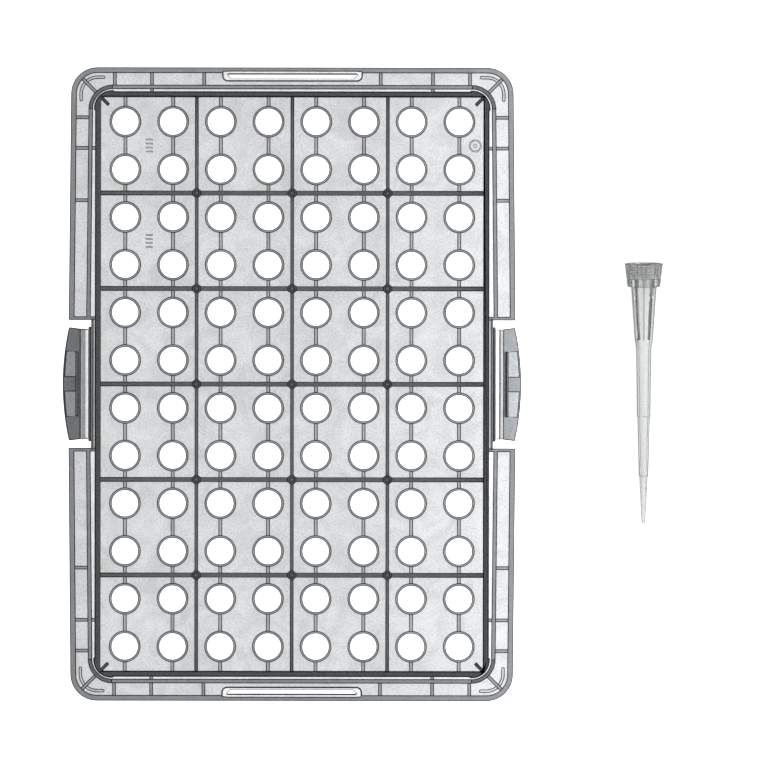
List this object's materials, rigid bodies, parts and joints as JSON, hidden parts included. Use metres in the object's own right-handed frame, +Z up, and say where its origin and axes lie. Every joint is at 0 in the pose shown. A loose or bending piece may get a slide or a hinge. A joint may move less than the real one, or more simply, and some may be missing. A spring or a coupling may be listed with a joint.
{
  "type": "pipette tip rack tray with a tip",
  "caption": "Smoke-grey moulded insert tray of a pipette tip box, with a grid of tip holes, ribs, a channelled rim and two sprung side latches, and a clear tip beside it.",
  "frame": {"origin": "centre of the hole grid on the deck's outer face, which the tray lies on", "axes": "+Z up out of the ribbed side, +Y along the longer side, +X across the tray towards the tip"},
  "size_m": [0.1132, 0.1194, 0.011],
  "materials": {
    "smoke_tray": "translucent smoke-grey moulded polypropylene, light where thin and dark where deep",
    "smoke_latch": "the same polypropylene, darker because it is thicker",
    "clear_tip": "clear natural polypropylene with a faint cool tint"
  },
  "bodies": {
    "tray": {"tip_tray": "smoke_tray", "pipette_tip": "clear_tip"},
    "latch_left_tab": {"latch_left": "smoke_latch"},
    "latch_right_tab": {"latch_right": "smoke_latch"}
  },
  "joints": [
    {"name": "latch_left_flex", "type": "hinge", "parent": "tray", "child": "latch_left_tab", "pos_m": [-0.0387, 0, 0.00085], "axis": [0, 1, 0], "range_deg": [-5, 12], "stiffness_Nm_per_rad": 0.2},
    {"name": "latch_right_flex", "type": "hinge", "parent": "tray", "child": "latch_right_tab", "pos_m": [0.0387, 0, 0.00085], "axis": [0, -1, 0], "range_deg": [-5, 12], "stiffness_Nm_per_rad": 0.2}
  ]
}
